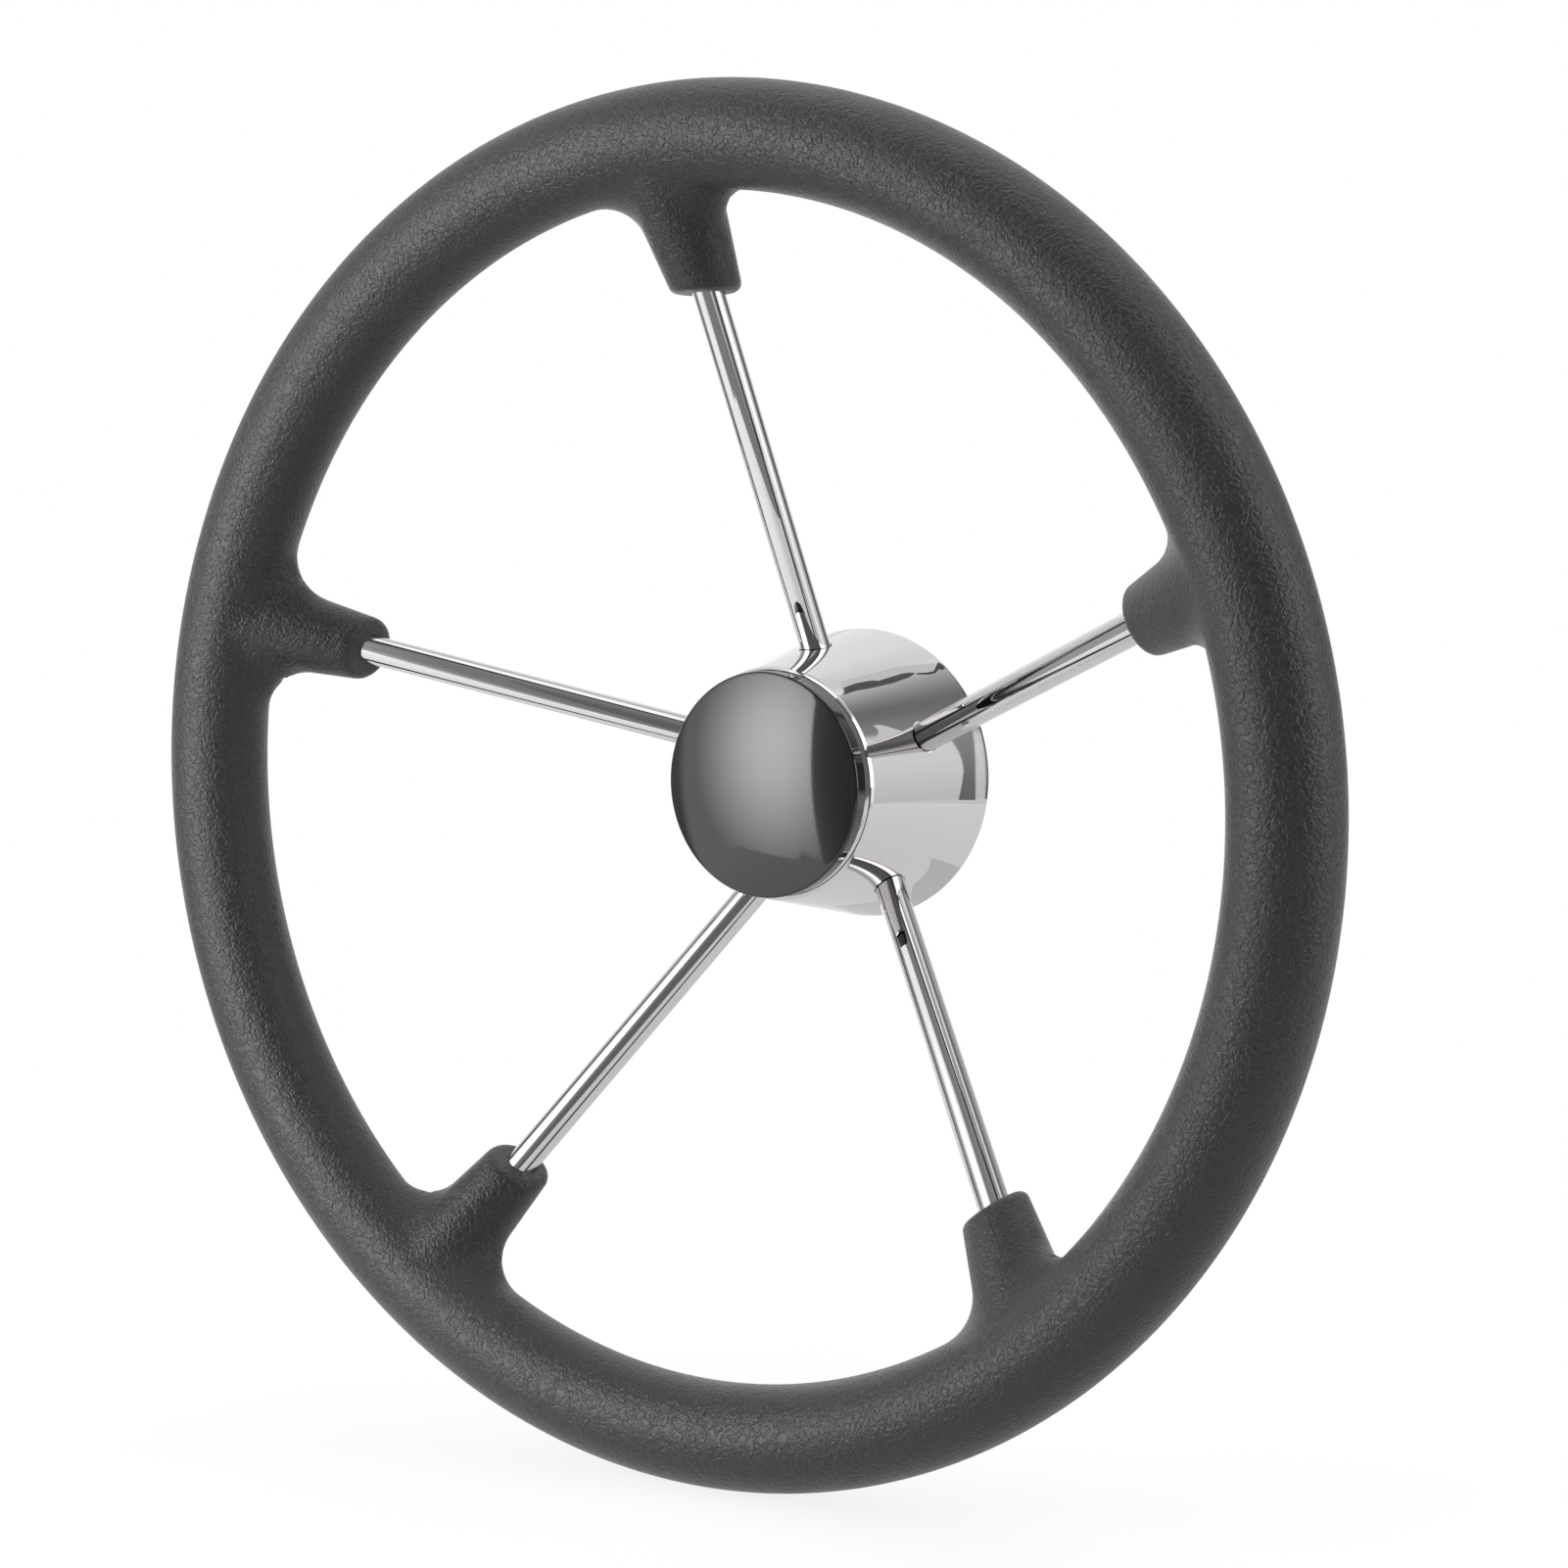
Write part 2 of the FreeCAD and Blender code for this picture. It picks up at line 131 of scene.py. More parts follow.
def rounded(corners, steps):
    """Outline through (radius, along, rounding) corners, each rounding made of short chords."""
    outline = []
    for number, (across, along, rounding) in enumerate(corners):
        here = Vector((across, along))
        if rounding == 0:
            outline.append(tuple(here))
            continue
        to_last = (Vector(corners[number - 1][:2]) - here).normalized()
        to_next = (Vector(corners[(number + 1) % len(corners)][:2]) - here).normalized()
        half = to_last.angle(to_next) / 2
        middle = here + (to_last + to_next).normalized() * rounding / math.sin(half)
        start = (here + to_last * rounding / math.tan(half) - middle).normalized()
        end = (here + to_next * rounding / math.tan(half) - middle).normalized()
        outline += [tuple(middle + start.slerp(end, step / steps) * rounding) for step in range(steps + 1)]
    return outline


def placed(item, matrix):
    item.data.transform(matrix)
    return item


def joined(items):
    with bpy.context.temp_override(active_object=items[0], selected_editable_objects=items):
        bpy.ops.object.join()
    return items[0]


def applied(item, kind, **settings):
    """Gives the item's mesh what one modifier makes of it."""
    modifier = item.modifiers.new(kind, kind)
    for name, value in settings.items():
        setattr(modifier, name, value)
    evaluated = item.evaluated_get(bpy.context.evaluated_depsgraph_get())
    mesh = bpy.data.meshes.new_from_object(evaluated)
    item.modifiers.clear()
    item.data = mesh
    return item


def cut(item, cutter):
    applied(item, "BOOLEAN", object=cutter, operation="DIFFERENCE", solver="EXACT")
    bpy.data.objects.remove(cutter)
    return item


def smooth(item, sharp_above=35):
    item.data.shade_smooth()
    item.data.set_sharp_from_angle(angle=math.radians(sharp_above))
    return item


def coordinates(mesh):
    points = np.empty(len(mesh.vertices) * 3)
    mesh.vertices.foreach_get("co", points)
    return points.reshape(-1, 3)


# Places around the wheel

def spoke_turn(number):
    return Matrix.Rotation(-number * SPOKE_TURN, 4, "Y")


def on_spoke(number, distance):
    """Frame on a spoke's axis at a distance inwards from the ring, its Z axis pointing back to the ring."""
    place = RIM_CENTRE + Vector((
        0, SPOKE_OFFSET + distance * math.sin(DISH), RIM_RADIUS - distance * math.cos(DISH)))
    return spoke_turn(number) @ Matrix.Translation(place) @ Matrix.Rotation(DISH, 4, "X")


def rod(name, radius, length, segments):
    """Round bar from the origin up Z, with flat ends. Its side is short faces, which mirror cleanly."""
    turn = Matrix.Rotation(math.pi / 2, 4, "X")
    side = [(radius, along) for along in np.linspace(0, length, 2 + int(length / SIDE_FACE_LENGTH))]
    return placed(lathe(name, [(0, 0), *side, (0, length)], segments), turn)


# Grip: the rim and its five lobes remeshed into one skin, which is then laid on the exact moulded surface

LOBE_ACROSS = LOBE_LENGTH * math.cos(DISH)
LOBE_ALONG = SPOKE_OFFSET + LOBE_LENGTH * math.sin(DISH)
LOBE_REACH = math.hypot(LOBE_ACROSS, LOBE_ALONG)
LOBE_AXIS = np.array([0, -LOBE_ALONG, LOBE_ACROSS]) / LOBE_REACH
LOBE_END = np.array([0, LOBE_ALONG, RIM_RADIUS - LOBE_ACROSS])
LOBE_TAPER = math.atan2(LOBE_ROOT_RADIUS - LOBE_END_RADIUS, LOBE_REACH)
DOWN = np.array([0, 0, -1])


def rim_distance(points):
    """Distance outside the plain rim, and the direction away from it. Points are relative to its centre."""
    flat = np.hypot(points[:, 0], points[:, 2])
    away = points * (1 - RIM_RADIUS / flat)[:, None]
    away[:, 1] = points[:, 1]
    reach = np.linalg.norm(away, axis=1)
    return reach - GRIP_RADIUS, away / reach[:, None]


def around_lobe(count):
    """Directions square to the upright lobe's axis, all the way round."""
    turns = np.linspace(0, 2 * np.pi, count, endpoint=False)
    third = np.cross(LOBE_AXIS, [1, 0, 0])
    return np.cos(turns)[:, None] * [1, 0, 0] + np.sin(turns)[:, None] * third


def end_edge(inset, count):
    """Places around the upright lobe's end, an inset inside both its side and its level end face."""
    outwards = around_lobe(count)
    across = LOBE_END_RADIUS - inset / math.cos(LOBE_TAPER)
    along = (inset - across * outwards[:, 2]) / (LOBE_AXIS[2] + math.tan(LOBE_TAPER) * outwards[:, 2])
    return LOBE_END + along[:, None] * LOBE_AXIS + (across + along * math.tan(LOBE_TAPER))[:, None] * outwards


def nearest(places, points):
    """The place nearest to each point."""
    tree = KDTree(len(places))
    for number, place in enumerate(places):
        tree.insert(place, number)
    tree.balance()
    return places[[tree.find(point)[1] for point in points]]


def side_distance(points):
    """Distance outside the upright lobe's tapered side, and the direction away from it."""
    offset = points - LOBE_END
    along = offset @ LOBE_AXIS
    outwards = offset - along[:, None] * LOBE_AXIS
    across = np.linalg.norm(outwards, axis=1)
    outwards /= np.maximum(across, 1e-9)[:, None]
    side = (across - LOBE_END_RADIUS - along * math.tan(LOBE_TAPER)) * math.cos(LOBE_TAPER)
    return side, math.cos(LOBE_TAPER) * outwards - math.sin(LOBE_TAPER) * LOBE_AXIS


ROUNDING_CENTRES = end_edge(LOBE_END_ROUNDING, 1440)


def lobe_distance(points):
    """Distance outside the upright lobe with its rounded end, and the direction away from it."""
    side, way = side_distance(points)
    below = (points - LOBE_END) @ DOWN
    distance = np.maximum(side, below)
    way = np.where((below > side)[:, None], DOWN, way)
    under_side = points - side_distance(points)[1] * (side + LOBE_END_ROUNDING)[:, None]
    under_end = points - DOWN * (below + LOBE_END_ROUNDING)[:, None]
    corner = np.flatnonzero(((under_side - LOBE_END) @ DOWN > -LOBE_END_ROUNDING)
                            & (side_distance(under_end)[0] > -LOBE_END_ROUNDING))
    if len(corner):
        from_centre = points[corner] - nearest(ROUNDING_CENTRES, points[corner])
        reach = np.linalg.norm(from_centre, axis=1)
        distance[corner] = reach - LOBE_END_ROUNDING
        way[corner] = from_centre / np.maximum(reach, 1e-9)[:, None]
    return distance, way


def flare_centres(count=2880):
    """Places where a ball that touches both the rim and the upright lobe has its centre."""
    outwards = around_lobe(count)

    def place(along):
        across = LOBE_END_RADIUS + along * math.tan(LOBE_TAPER) + LOBE_FLARE / math.cos(LOBE_TAPER)
        return LOBE_END + along[:, None] * LOBE_AXIS + across[:, None] * outwards

    low = np.full(count, -5 * mm)
    high = np.full(count, LOBE_REACH)
    for _ in range(40):
        middle = (low + high) / 2
        outside = rim_distance(place(middle))[0] > LOBE_FLARE
        low = np.where(outside, middle, low)
        high = np.where(outside, high, middle)
    return place(low)


def on_moulding(points):
    """The nearest places on the moulded surface to points near it, all relative to the rim's centre."""
    turn = np.round(np.arctan2(points[:, 0], points[:, 2]) / SPOKE_TURN) * SPOKE_TURN
    cos, sin = np.cos(turn), np.sin(turn)
    upright = np.stack([
        cos * points[:, 0] - sin * points[:, 2], points[:, 1], sin * points[:, 0] + cos * points[:, 2]], axis=1)
    off_rim, rim_way = rim_distance(upright)
    off_lobe, lobe_way = lobe_distance(upright)
    over_rim = upright + rim_way * (LOBE_FLARE - off_rim)[:, None]
    over_lobe = upright + lobe_way * (LOBE_FLARE - off_lobe)[:, None]
    past_ring = (upright - LOBE_END) @ LOBE_AXIS > LOBE_REACH
    plain_rim = past_ring | (off_lobe >= LOBE_FLARE) | (lobe_distance(over_rim)[0] >= LOBE_FLARE)
    plain_lobe = ~plain_rim & ((off_rim >= LOBE_FLARE) | (rim_distance(over_lobe)[0] >= LOBE_FLARE))
    laid = np.where(plain_rim[:, None], upright - rim_way * off_rim[:, None],
                    upright - lobe_way * off_lobe[:, None])
    flared = np.flatnonzero(~plain_rim & ~plain_lobe)
    centres = nearest(flare_centres(), upright[flared])
    way = upright[flared] - centres
    laid[flared] = centres + way * LOBE_FLARE / np.linalg.norm(way, axis=1)[:, None]
    return np.stack([
        cos * laid[:, 0] + sin * laid[:, 2], laid[:, 1], -sin * laid[:, 0] + cos * laid[:, 2]], axis=1)


def grip_skin():
    ring = [
        (RIM_RADIUS + GRIP_RADIUS * math.cos(turn), GRIP_RADIUS * math.sin(turn) - RIM_SETBACK)
        for turn in np.linspace(0, 2 * math.pi, GRIP_SIDES, endpoint=False)
    ]
    skin = [lathe("grip_skin", ring, RING_STEPS, closed=True)]
    sides = GRIP_SIDES
    root = LOBE_END + LOBE_REACH * LOBE_AXIS
    points = [*end_edge(0, sides), *(root + LOBE_ROOT_RADIUS * around_lobe(sides)), LOBE_END, root]
    faces = []
    for side in range(sides):
        after = (side + 1) % sides
        faces += [(side, after, sides + after, sides + side), (after, side, 2 * sides),
                  (sides + side, sides + after, 2 * sides + 1)]
    for number in range(SPOKE_COUNT):
        turned = spoke_turn(number) @ Matrix.Translation(RIM_CENTRE)
        skin.append(placed(mesh_object("lobe", points, faces), turned))
    skin = joined(skin)
    applied(skin, "REMESH", mode="VOXEL", voxel_size=GRIP_VOXEL)
    centre = np.array(RIM_CENTRE)
    laid = on_moulding(coordinates(skin.data) - centre) + centre
    skin.data.vertices.foreach_set("co", laid.ravel())
    skin.data.update()
    return skin


grip = grip_skin()
cutter_length, cutter_overlap = 40 * mm, 10 * mm
for number in range(SPOKE_COUNT):
    hole = rod("hole", SPOKE_RADIUS + MOULD_CLEARANCE, cutter_length, GRIP_SIDES)
    cut(grip, placed(hole, on_spoke(number, LOBE_LENGTH + cutter_overlap)))
smooth(grip, 50)
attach(grip, "wheel")
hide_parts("grip")

# Spokes: mirror polished bars from the ring into the boss

spokes = []
to_boss = (RIM_RADIUS - BOSS_RADIUS) / math.cos(DISH)
reach = to_boss + SOCKET_DEPTH - SPOKE_END_GAP
length = reach - RING_RADIUS - SPOKE_END_GAP
for number in range(SPOKE_COUNT):
    bar = rod(f"spoke_bar_{number + 1}", SPOKE_RADIUS, length, TURNED_STEPS)
    spoke = placed(bar, on_spoke(number, reach))
    smooth(spoke)
    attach(spoke, "wheel")
    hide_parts(f"spoke_{number + 1}")
    spokes.append(spoke)

# Hub shell: drawn cone with its turned-in front and pierced spoke holes

shell_slope = (SHELL_REAR_RADIUS - SHELL_FRONT_RADIUS) / (SHELL_REAR - SHELL_FRONT)
shell_angle = math.atan(shell_slope)
sheet_across = SHELL_WALL / math.cos(shell_angle)
inside_corner = SHELL_FRONT_RADIUS + SHELL_WALL * shell_slope - sheet_across
shell = lathe("polished_shell", rounded([
    (SHELL_OPENING, SHELL_FRONT, 0),
    (SHELL_FRONT_RADIUS, SHELL_FRONT, SHELL_BEND),
    (SHELL_REAR_RADIUS, SHELL_REAR, SHELL_REAR_ROUNDING),
    (SHELL_REAR_RADIUS - sheet_across, SHELL_REAR, SHELL_REAR_ROUNDING),
    (inside_corner, SHELL_FRONT + SHELL_WALL, SHELL_BEND - SHELL_WALL),
    (SHELL_OPENING, SHELL_FRONT + SHELL_WALL, 0),
], BEND_STEPS), TURNED_STEPS, closed=True)
for number in range(SPOKE_COUNT):
    hole = rod("hole", SPOKE_HOLE_RADIUS, SPOKE_HOLE_LENGTH, HOLE_STEPS)
    cut(shell, placed(hole, on_spoke(number, (RIM_RADIUS - SPOKE_HOLE_PLACE) / math.cos(DISH))))
smooth(shell, 30)

# The sheet's own normals, so that the holes leave no mark in the reflections around them
bend_across = SHELL_FRONT_RADIUS - SHELL_BEND / math.tan((math.pi / 2 + shell_angle) / 2)
bend = Vector((bend_across, SHELL_FRONT + SHELL_BEND))
cone_way = Vector((math.cos(shell_angle), -math.sin(shell_angle)))


def sheet_normal(point):
    radius = math.hypot(point.x, point.z)
    from_bend = Vector((radius, point.y)) - bend
    if from_bend.x * math.sin(shell_angle) + from_bend.y * math.cos(shell_angle) > 0:
        way = cone_way
    elif from_bend.x < 0:
        way = Vector((0, -1))
    else:
        way = from_bend.normalized()
    return Vector((way.x * point.x / radius, way.y, way.x * point.z / radius))


def sheet_normals(mesh):
    """Corner normals of the sheet's two sides, and the mesh's own on its edges and hole walls. Faces of the
    unpolished inner side are marked."""
    in_line = 0.97
    normals = [corner.vector.copy() for corner in mesh.corner_normals]
    unpolished = mesh.attributes.new("unpolished", "FLOAT", "FACE").data
    for face in mesh.polygons:
        agreement = sheet_normal(face.center).dot(face.normal)
        unpolished[face.index].value = agreement < 0
        if abs(agreement) < in_line or face.center.y > SHELL_REAR - SHELL_REAR_ROUNDING:
            continue
        for corner in face.loop_indices:
            point = mesh.vertices[mesh.loops[corner].vertex_index].co
            normals[corner] = sheet_normal(point) * math.copysign(1, agreement)
    mesh.normals_split_custom_set(normals)


sheet_normals(shell.data)
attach(shell, "wheel")
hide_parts("hub_shell")

# Weld beads where the spokes enter the boss

def weld_bead(number):
    """Rippled bead around a spoke, along the curve where it meets the boss."""
    place = on_spoke(number, to_boss)
    steps, sides, ripples = 216, 12, 36
    points = []
    for turn in np.linspace(0, 2 * math.pi, steps, endpoint=False):
        outwards = Vector((math.cos(turn), math.sin(turn), 0))
        low, high = -6 * mm, 6 * mm
        for _ in range(20):
            middle = (low + high) / 2
            point = place @ (outwards * SPOKE_RADIUS + Vector((0, 0, middle)))
            inside_boss = math.hypot(point.x, point.z) < BOSS_RADIUS
            low, high = (middle, high) if inside_boss else (low, middle)
        ripple = abs(math.sin(ripples / 2 * turn))
        thickness = (1.15 + 0.2 * ripple + 0.08 * math.sin(3 * turn + number)) * mm
        for side in np.linspace(0, 2 * math.pi, sides, endpoint=False):
            offset = outwards * math.cos(side) + Vector((0, 0, 1)) * math.sin(side)
            points.append(place @ (outwards * SPOKE_RADIUS + Vector((0, 0, low)) + offset * thickness))
    faces = []
    for step in range(steps):
        first, second = step * sides, (step + 1) % steps * sides
        for side in range(sides):
            after = (side + 1) % sides
            faces.append((first + side, second + side, second + after, first + after))
    return smooth(mesh_object(f"weld_{number + 1}", points, faces), 60)


welds = [weld_bead(number) for number in range(SPOKE_COUNT)]
for weld in welds:
    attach(weld, "wheel")

# Centre cap: domed head over a slotted plug

cap_face = SHELL_FRONT - CAP_HEAD
dome_radius = (CAP_RADIUS ** 2 + CAP_DOME ** 2) / (2 * CAP_DOME)
dome_centre = cap_face - CAP_DOME + dome_radius
edge_across = CAP_RADIUS - CAP_ROUNDING
edge_angle = math.asin(edge_across / (dome_radius - CAP_ROUNDING))
edge_along = dome_centre - (dome_radius - CAP_ROUNDING) * math.cos(edge_angle)
cap_outline = [
    (dome_radius * math.sin(turn), dome_centre - dome_radius * math.cos(turn))
    for turn in np.linspace(0, edge_angle, 33)
]
cap_outline[0] = (0, cap_face - CAP_DOME)
cap_outline += [
    (edge_across + CAP_ROUNDING * math.sin(turn), edge_along - CAP_ROUNDING * math.cos(turn))
    for turn in np.linspace(edge_angle, math.pi / 2, 13)[1:]
]
cap_outline += [
    (CAP_RADIUS, SHELL_FRONT),
    (PLUG_RADIUS, SHELL_FRONT),
    (PLUG_RADIUS, SHELL_FRONT + PLUG_DEPTH),
    (PLUG_RADIUS - CAP_WALL, SHELL_FRONT + PLUG_DEPTH),
    (PLUG_RADIUS - CAP_WALL, cap_face + CAP_WALL),
    (0, cap_face + CAP_WALL),
]
cap = lathe("cap_moulding", cap_outline, TURNED_STEPS)
for number in range(CLAW_COUNT):
    box = [(x, y, z) for x in (-CLAW_SLOT / 2, CLAW_SLOT / 2)
           for y in (SHELL_FRONT + CAP_WALL, SHELL_FRONT + PLUG_DEPTH + mm)
           for z in (PLUG_RADIUS - CAP_WALL - mm, PLUG_RADIUS + mm)]
    slot = mesh_object("slot", box, [
        (0, 1, 3, 2), (4, 6, 7, 5), (0, 4, 5, 1), (2, 3, 7, 6), (0, 2, 6, 4), (1, 5, 7, 3)])
    cut(cap, placed(slot, Matrix.Rotation(number * 2 * math.pi / CLAW_COUNT, 4, "Y")))
smooth(cap, 30)
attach(cap, "centre_cap")
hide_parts("centre_cap")


# Materials. Their lengths are metres, and a noise's scale is its number of waves in a metre.

class Nodes:
    """One material's nodes, added and linked by name."""

    def __init__(self, name):
        self.material = bpy.data.materials.new(name)
        self.material.use_nodes = True
        self.tree = self.material.node_tree
        self.shader = self.tree.nodes["Principled BSDF"]
        self.place = self.add("ShaderNodeTexCoord").outputs["Object"]

    def add(self, kind, inputs=None, **settings):
        node = self.tree.nodes.new(kind)
        for name, value in settings.items():
            setattr(node, name, value)
        for name, value in (inputs or {}).items():
            self.feed(node, name, value)
        return node

    def feed(self, node, name, value):
        if isinstance(value, bpy.types.NodeSocket):
            self.tree.links.new(value, node.inputs[name])
        else:
            node.inputs[name].default_value = value

    def shade(self, **inputs):
        for name, value in inputs.items():
            self.feed(self.shader, name.replace("_", " "), value)

    def noise(self, scale, detail=2.0, place=None):
        return self.add("ShaderNodeTexNoise", {
            "Vector": place or self.place, "Scale": scale, "Detail": detail}).outputs["Fac"]

    def between(self, value, low, high, start=0.0, end=1.0):
        """Brings a value that goes from start to end to one that goes from low to high."""
        node = self.add("ShaderNodeMapRange", {
            "Value": value, "From Min": start, "From Max": end, "To Min": low, "To Max": high})
        return node.outputs["Result"]

    def maths(self, operation, first, second):
        node = self.add("ShaderNodeMath", operation=operation)
        self.feed(node, 0, first)
        self.feed(node, 1, second)
        return node.outputs["Value"]

    def tint(self, value, low, high):
        node = self.add("ShaderNodeMix", data_type="RGBA")
        self.feed(node, 0, value)
        self.feed(node, 6, low)
        self.feed(node, 7, high)
        return node.outputs[2]

    def bump(self, height, strength, distance, onto=None):
        inputs = {"Height": height, "Strength": strength, "Distance": distance}
        if onto:
            inputs["Normal"] = onto
        return self.add("ShaderNodeBump", inputs).outputs["Normal"]


def grey(value, red=1.0, blue=1.0):
    """Grey of a brightness, warmer with more red and cooler with more blue."""
    return (value * red, value, value * blue, 1)


def grip_material():
    """Polyurethane skin with a leathery grain of winding veins."""
    nodes = Nodes("moulded_skin")
    drift = nodes.add("ShaderNodeTexNoise", {"Vector": nodes.place, "Scale": 420, "Detail": 2})
    strayed = nodes.add("ShaderNodeVectorMath", {
        0: drift.outputs["Color"], 1: (-0.5, -0.5, -0.5)}, operation="ADD")
    shifted = nodes.add("ShaderNodeVectorMath", {
        0: strayed.outputs[0], 1: (1.6 * mm, 1.6 * mm, 1.6 * mm), 2: nodes.place}, operation="MULTIPLY_ADD")
    veins = nodes.maths("SUBTRACT", nodes.noise(620, 2, shifted.outputs[0]), 0.5)
    grain = nodes.maths("ADD", nodes.between(nodes.maths("ABSOLUTE", veins, 0), 1, 0, 0, 0.14),
                        nodes.maths("MULTIPLY", nodes.noise(2100, 2), 0.4))
    rough = nodes.between(nodes.noise(55, 3), 0.35, 0.42, 0.3, 0.7)
    worn = nodes.noise(14, 4)
    nodes.shade(
        Base_Color=nodes.tint(worn, grey(0.030, 1.015, 1.1), grey(0.040, 1.015, 1.1)),
        Roughness=rough,
        Normal=nodes.bump(grain, 0.9, 0.14 * mm, nodes.bump(nodes.noise(130, 2), 0.12, 0.6 * mm)),
        Sheen_Weight=0.1,
        Sheen_Roughness=0.5,
        Specular_IOR_Level=0.54,
    )
    return nodes.material


def mirror_material(name, reflectance, wave_scale, wave_depth):
    """Polished steel. Faces marked as unpolished keep the dull surface that drawing left."""
    nodes = Nodes(name)
    unpolished = nodes.add("ShaderNodeAttribute", attribute_name="unpolished").outputs["Fac"]
    polished = nodes.tint(nodes.noise(30, 3), grey(reflectance - 0.02, 1.02, 0.995),
                          grey(reflectance + 0.02, 1.02, 0.995))
    dull = nodes.tint(nodes.noise(180, 4), grey(0.56), grey(0.66))
    gloss = nodes.between(nodes.noise(90, 4), 0.006, 0.022, 0.35, 0.7)
    nodes.shade(
        Base_Color=nodes.tint(unpolished, polished, dull),
        Roughness=nodes.maths("MAXIMUM", gloss, nodes.maths("MULTIPLY", unpolished, 0.42)),
        Normal=nodes.bump(nodes.noise(wave_scale, 1), 1.0, wave_depth),
        Metallic=1.0,
    )
    return nodes.material


def weld_material():
    """Brushed weld metal with a trace of heat colour."""
    nodes = Nodes("weld_metal")
    heat = nodes.noise(260, 3)
    nodes.shade(
        Base_Color=nodes.tint(heat, grey(0.46, 1.03, 0.96), grey(0.30, 1.12, 0.85)),
        Roughness=nodes.between(nodes.noise(900, 2), 0.22, 0.38),
        Normal=nodes.bump(nodes.noise(1500, 2), 0.4, 0.00006),
        Metallic=1.0,
    )
    return nodes.material


def turned_material():
    """Lathe-turned steel: fine rings around the shaft."""
    nodes = Nodes("turned_steel")
    apart = nodes.add("ShaderNodeSeparateXYZ", {"Vector": nodes.place})
    across = nodes.add("ShaderNodeCombineXYZ", {
        "X": nodes.maths("SQRT", nodes.maths("ADD", nodes.maths("POWER", apart.outputs["X"], 2),
                                             nodes.maths("POWER", apart.outputs["Z"], 2)), 0),
        "Y": apart.outputs["Y"]}).outputs["Vector"]
    rings = nodes.noise(2600, 2, across)
    nodes.shade(
        Base_Color=nodes.tint(rings, grey(0.42, 1.01, 0.99), grey(0.56, 1.01, 0.99)),
        Roughness=nodes.between(rings, 0.22, 0.42),
        Normal=nodes.bump(rings, 0.5, 0.00003),
        Metallic=1.0,
    )
    return nodes.material


def drawn_material():
    """Drawn steel bar, as it comes from the mill."""
    nodes = Nodes("drawn_bar")
    nodes.shade(
        Base_Color=nodes.tint(nodes.noise(220, 4), grey(0.30), grey(0.42)),
        Roughness=nodes.between(nodes.noise(400, 3), 0.35, 0.5),
        Metallic=1.0,
    )
    return nodes.material


def cap_material():
    """Glossy black moulding."""
    nodes = Nodes("gloss_moulding")
    nodes.shade(
        Base_Color=nodes.tint(nodes.noise(40, 3), grey(0.008, 1, 1.3), grey(0.012, 1, 1.3)),
        Roughness=nodes.between(nodes.noise(60, 3), 0.04, 0.08),
        IOR=1.68,
        Normal=nodes.bump(nodes.noise(45, 1), 1.0, 0.00002),
        Specular_IOR_Level=0.5,
    )
    return nodes.material


def dress(item, material):
    item.data.materials.clear()
    item.data.materials.append(material)


dress(grip, grip_material())
spoke_steel = mirror_material("polished_bar", 0.64, 60, 0.00001)
for spoke in spokes:
    dress(spoke, spoke_steel)
dress(shell, mirror_material("polished_sheet", 0.66, 45, 0.000003))
dress(cap, cap_material())
weld_metal = weld_material()
for weld in welds:
    dress(weld, weld_metal)
for node, material in (("hub_boss", turned_material()), ("rim_ring", drawn_material())):
    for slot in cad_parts[node].material_slots:
        slot.material = material


# Camera: where the photograph was taken from, fitted to the rim and the spokes. The picture's points and the
# focal length are in its pixels.

PICTURE_SIZE = 1601
FOCAL_LENGTH = 2929.51


def photo_camera():
    azimuth, elevation, roll = math.radians(36.249), math.radians(3.422), math.radians(-2.418)
    pan, tilt = math.radians(-1.968), math.radians(-0.127)
    distance = 0.70109
    back = Vector((math.sin(azimuth) * math.cos(elevation), -math.cos(azimuth) * math.cos(elevation),
                   math.sin(elevation)))
    right = Vector((math.cos(azimuth), math.sin(azimuth), 0))
    up = back.cross(right)
    place = RIM_CENTRE + back * distance
    back, right = back * math.cos(pan) + right * math.sin(pan), right * math.cos(pan) - back * math.sin(pan)
    back, up = back * math.cos(tilt) + up * math.sin(tilt), up * math.cos(tilt) - back * math.sin(tilt)
    right = right * math.cos(roll) + up * math.sin(roll)
    up = back.cross(right)
    camera = bpy.data.cameras.new("camera")
    camera.sensor_width = 36
    camera.lens = camera.sensor_width * FOCAL_LENGTH / PICTURE_SIZE
    camera.clip_start = 0.01
    holder = bpy.data.objects.new("camera", camera)
    bpy.context.scene.collection.objects.link(holder)
    holder.matrix_world = Matrix.Translation(place) @ Matrix((right, up, back)).transposed().to_4x4()
    bpy.context.scene.camera = holder


photo_camera()


# Studio: two lamps for the matt surfaces, and shining cards that only reflections see

STUDIO_MIDDLE = Vector((0, -0.05, 0))
FLOOR = -WHEEL_RADIUS
PAPER = FLOOR + mm


def towards(azimuth, elevation, distance):
    """Place in a direction from the wheel: azimuth from straight in front, to the helmsman's right."""
    a, e = math.radians(azimuth), math.radians(elevation)
    way = Vector((math.sin(a) * math.cos(e), -math.cos(a) * math.cos(e), math.sin(e)))
    return STUDIO_MIDDLE + distance * way


def softbox(name, azimuth, elevation, distance, size, radiance):
    """Square lamp that faces the wheel."""
    light = bpy.data.lights.new(name, "AREA")
    light.shape = "SQUARE"
    light.size = size
    light.energy = radiance * math.pi * size * size
    lamp = bpy.data.objects.new(name, light)
    lamp.location = towards(azimuth, elevation, distance)
    lamp.rotation_euler = (lamp.location - STUDIO_MIDDLE).to_track_quat("Z", "Y").to_euler()
    lamp.visible_camera = False
    lamp.visible_glossy = False
    bpy.context.scene.collection.objects.link(lamp)


